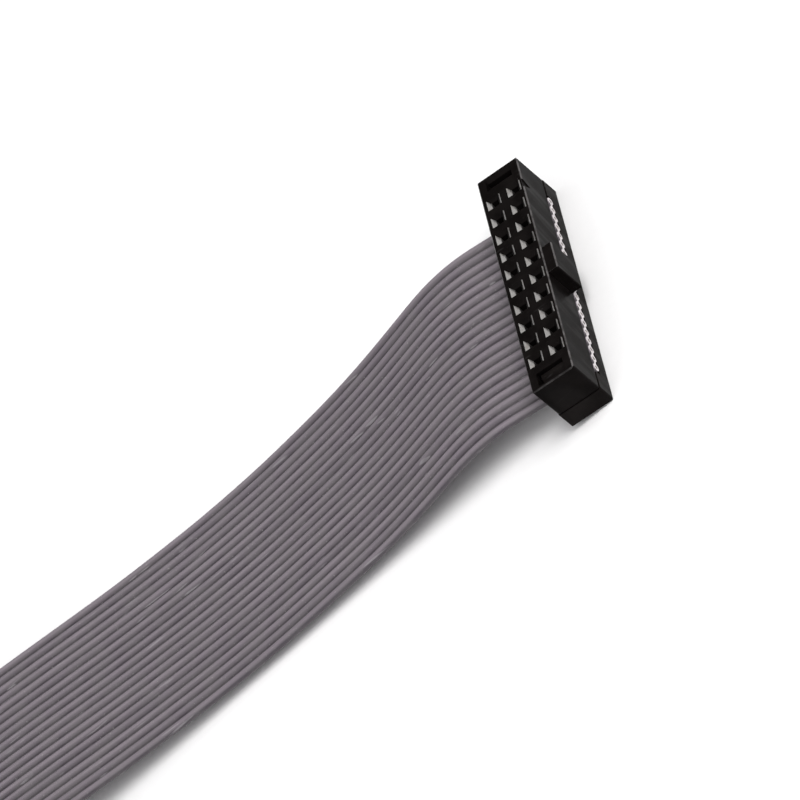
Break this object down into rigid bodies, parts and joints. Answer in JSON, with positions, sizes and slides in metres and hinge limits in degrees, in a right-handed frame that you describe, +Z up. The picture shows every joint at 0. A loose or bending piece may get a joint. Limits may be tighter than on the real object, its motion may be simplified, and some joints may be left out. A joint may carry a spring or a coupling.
{
  "type": "ribbon cable",
  "caption": "Flat grey ribbon cable with a black two-row insulation-displacement socket crimped on each end, for joining pin headers.",
  "frame": {"origin": "midway between the two sockets, on the surface that the cable lies on", "axes": "+Z up from that surface, +X along the ribbon towards the near socket, Y along the contact rows with contact 1 at the +Y end"},
  "size_m": [0.1994, 0.0306, 0.0075],
  "materials": {
    "body_plastic": "black glass-filled moulding with a soft sheen",
    "cover_plastic": "black glass-filled moulding with a soft sheen",
    "contact_metal": "phosphor bronze strip, tin and gold plated",
    "ribbon_vinyl": "soft grey vinyl insulation with a faint sheen"
  },
  "bodies": {
    "root": {"near_body": "body_plastic", "near_cover": "cover_plastic", "far_body": "body_plastic", "far_cover": "cover_plastic", "ribbon": "ribbon_vinyl", "near_contact_1": "contact_metal", "near_contact_2": "contact_metal", "near_contact_3": "contact_metal", "near_contact_4": "contact_metal", "near_contact_5": "contact_metal", "near_contact_6": "contact_metal", "near_contact_7": "contact_metal", "near_contact_8": "contact_metal", "near_contact_9": "contact_metal", "near_contact_10": "contact_metal", "near_contact_11": "contact_metal", "near_contact_12": "contact_metal", "near_contact_13": "contact_metal", "near_contact_14": "contact_metal", "near_contact_15": "contact_metal", "near_contact_16": "contact_metal", "near_contact_17": "contact_metal", "near_contact_18": "contact_metal", "near_contact_19": "contact_metal", "near_contact_20": "contact_metal", "far_contact_1": "contact_metal", "far_contact_2": "contact_metal", "far_contact_3": "contact_metal", "far_contact_4": "contact_metal", "far_contact_5": "contact_metal", "far_contact_6": "contact_metal", "far_contact_7": "contact_metal", "far_contact_8": "contact_metal", "far_contact_9": "contact_metal", "far_contact_10": "contact_metal", "far_contact_11": "contact_metal", "far_contact_12": "contact_metal", "far_contact_13": "contact_metal", "far_contact_14": "contact_metal", "far_contact_15": "contact_metal", "far_contact_16": "contact_metal", "far_contact_17": "contact_metal", "far_contact_18": "contact_metal", "far_contact_19": "contact_metal", "far_contact_20": "contact_metal"}
  },
  "joints": []
}
